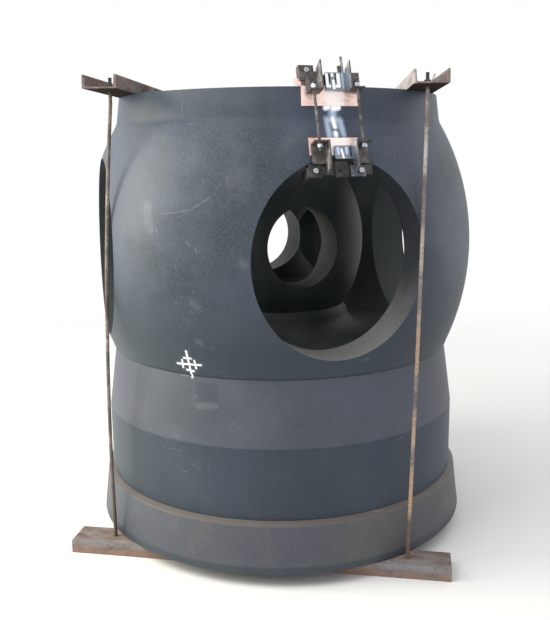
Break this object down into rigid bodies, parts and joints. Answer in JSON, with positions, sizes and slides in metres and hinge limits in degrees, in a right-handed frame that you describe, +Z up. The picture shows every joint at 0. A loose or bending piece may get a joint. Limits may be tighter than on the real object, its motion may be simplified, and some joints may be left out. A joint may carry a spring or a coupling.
{
  "type": "water turbine runner hub",
  "caption": "Upright cast hub of a water turbine wheel with round blade bores, lashed between steel channels and beams by tie rods, with a small clamp over one bore.",
  "frame": {"origin": "centre of the footprint on the floor, on the hub's axis, under the bottom beams", "axes": "+Z up along the hub's axis; the blade bores open along -Y (front), +X, +Y and -X; the clamp stands over the -Y bore"},
  "size_m": [2.108, 2.0128, 2.1488],
  "materials": {
    "grey_primer": "satin blue-grey primer on a machined casting, with fine scratches",
    "dark_primer": "darker satin grey primer, with a bare brown shoulder edge",
    "rusty_steel": "rolled steel with brown rust and scale",
    "worn_steel": "bare bright steel, worn",
    "dark_steel": "oiled black steel, worn at the edges",
    "copper_sheet": "bright soft copper sheet, slightly tarnished"
  },
  "bodies": {
    "root": {"hub_casting": "grey_primer", "bearing_boss": "grey_primer", "lower_barrel": "dark_primer", "base_ring": "dark_primer", "top_channel_left": "rusty_steel", "top_channel_right": "rusty_steel", "bottom_beam_front": "rusty_steel", "bottom_beam_back": "rusty_steel", "tie_rod_front_left": "rusty_steel", "tie_rod_front_right": "rusty_steel", "tie_rod_back_left": "rusty_steel", "tie_rod_back_right": "rusty_steel", "washer_plate_front_left": "rusty_steel", "washer_plate_front_right": "rusty_steel", "washer_plate_back_left": "rusty_steel", "washer_plate_back_right": "rusty_steel", "top_nut_front_left": "worn_steel", "top_nut_front_right": "worn_steel", "top_nut_back_left": "worn_steel", "top_nut_back_right": "worn_steel", "foot_nut_front_left": "rusty_steel", "foot_nut_front_right": "rusty_steel", "foot_nut_back_left": "rusty_steel", "foot_nut_back_right": "rusty_steel", "copper_pad_top": "copper_sheet", "copper_pad_bottom": "copper_sheet", "tension_strap": "worn_steel", "clamp_bar_top": "dark_steel", "clamp_bar_bottom": "dark_steel", "clamp_bracket_top_left": "dark_steel", "clamp_bracket_top_right": "dark_steel", "clamp_bracket_bottom_left": "dark_steel", "clamp_bracket_bottom_right": "dark_steel", "clamp_jaw_top": "worn_steel", "clamp_jaw_bottom": "worn_steel", "locating_tongue": "worn_steel", "end_plate_top_left": "dark_steel", "end_plate_bottom_left": "dark_steel", "end_plate_bottom_centre": "dark_steel", "end_plate_bottom_right": "dark_steel", "clamp_rod_left": "worn_steel", "clamp_rod_right": "worn_steel", "clamp_nut_top_left": "worn_steel", "clamp_nut_top_right": "worn_steel", "clamp_nut_bottom_left": "worn_steel", "clamp_nut_bottom_right": "worn_steel"}
  },
  "joints": []
}
